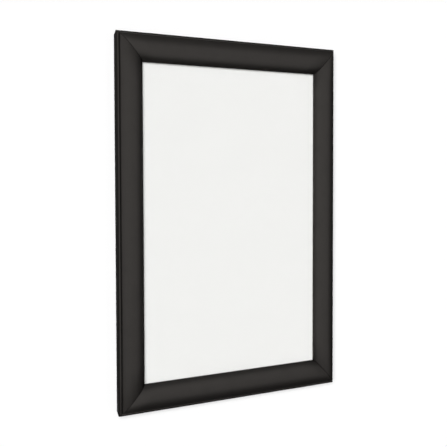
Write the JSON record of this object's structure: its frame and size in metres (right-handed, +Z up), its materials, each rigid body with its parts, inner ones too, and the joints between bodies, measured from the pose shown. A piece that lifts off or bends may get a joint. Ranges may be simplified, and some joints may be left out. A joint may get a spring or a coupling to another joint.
{
  "type": "poster frame",
  "caption": "Front-loading wall frame for an A4 poster: mitred base profiles, sprung flap profiles hinged on their outer edges, back panel and matt cover sheet.",
  "frame": {"origin": "the middle of the top base profile's flat back, on the wall plane, half way along the frame's width", "axes": "+Z up along the wall, +Y into the wall, +X to the right as seen from the front; the front faces -Y"},
  "size_m": [0.24, 0.0136, 0.327],
  "materials": {
    "black_anodised": "satin black anodised extrusion",
    "zinc_plate": "zinc plated, punched",
    "spring_steel": "bright rolled spring strip",
    "panel_plastic": "matt grey polystyrene sheet",
    "poster_paper": "matt white paper",
    "cover_plastic": "clear anti-glare film"
  },
  "bodies": {
    "frame": {"base_profile_top": "black_anodised", "base_profile_right": "black_anodised", "base_profile_bottom": "black_anodised", "base_profile_left": "black_anodised", "corner_key_top_left": "zinc_plate", "corner_key_top_right": "zinc_plate", "corner_key_bottom_right": "zinc_plate", "corner_key_bottom_left": "zinc_plate", "back_panel": "panel_plastic", "poster_sheet": "poster_paper", "cover_sheet": "cover_plastic"},
    "top_flap": {"flap_top": "black_anodised"},
    "right_flap": {"flap_right": "black_anodised"},
    "bottom_flap": {"flap_bottom": "black_anodised"},
    "left_flap": {"flap_left": "black_anodised"},
    "top_springs": {"spring_top_1": "spring_steel", "spring_top_2": "spring_steel"},
    "right_springs": {"spring_right_1": "spring_steel", "spring_right_2": "spring_steel"},
    "bottom_springs": {"spring_bottom_1": "spring_steel", "spring_bottom_2": "spring_steel"},
    "left_springs": {"spring_left_1": "spring_steel", "spring_left_2": "spring_steel"}
  },
  "joints": [
    {"name": "top_flap_hinge", "type": "hinge", "parent": "frame", "child": "top_flap", "pos_m": [0, -0.0085, 0.007], "axis": [-1, 0, 0], "range_deg": [0, 90]},
    {"name": "right_flap_hinge", "type": "hinge", "parent": "frame", "child": "right_flap", "pos_m": [0.1183, -0.0085, -0.1548], "axis": [0, 0, 1], "range_deg": [0, 90]},
    {"name": "bottom_flap_hinge", "type": "hinge", "parent": "frame", "child": "bottom_flap", "pos_m": [0, -0.0085, -0.3166], "axis": [1, 0, 0], "range_deg": [0, 90]},
    {"name": "left_flap_hinge", "type": "hinge", "parent": "frame", "child": "left_flap", "pos_m": [-0.1183, -0.0085, -0.1548], "axis": [0, 0, -1], "range_deg": [0, 90]},
    {"name": "top_spring_tilt", "type": "hinge", "parent": "frame", "child": "top_springs", "pos_m": [0, -0.00515, -0.00435], "axis": [1, 0, 0], "range_deg": [0, 27.35], "deforming": ["spring_top_1", "spring_top_2"]},
    {"name": "right_spring_tilt", "type": "hinge", "parent": "frame", "child": "right_springs", "pos_m": [0.10695, -0.00515, -0.1548], "axis": [0, 0, -1], "range_deg": [0, 27.35], "deforming": ["spring_right_1", "spring_right_2"]},
    {"name": "bottom_spring_tilt", "type": "hinge", "parent": "frame", "child": "bottom_springs", "pos_m": [0, -0.00515, -0.30525], "axis": [-1, 0, 0], "range_deg": [0, 27.35], "deforming": ["spring_bottom_1", "spring_bottom_2"]},
    {"name": "left_spring_tilt", "type": "hinge", "parent": "frame", "child": "left_springs", "pos_m": [-0.10695, -0.00515, -0.1548], "axis": [0, 0, 1], "range_deg": [0, 27.35], "deforming": ["spring_left_1", "spring_left_2"]}
  ],
  "couplings": [
    {"joint": "top_spring_tilt", "follows": "top_flap_hinge", "ratio": 0.30389},
    {"joint": "right_spring_tilt", "follows": "right_flap_hinge", "ratio": 0.30389},
    {"joint": "bottom_spring_tilt", "follows": "bottom_flap_hinge", "ratio": 0.30389},
    {"joint": "left_spring_tilt", "follows": "left_flap_hinge", "ratio": 0.30389}
  ]
}
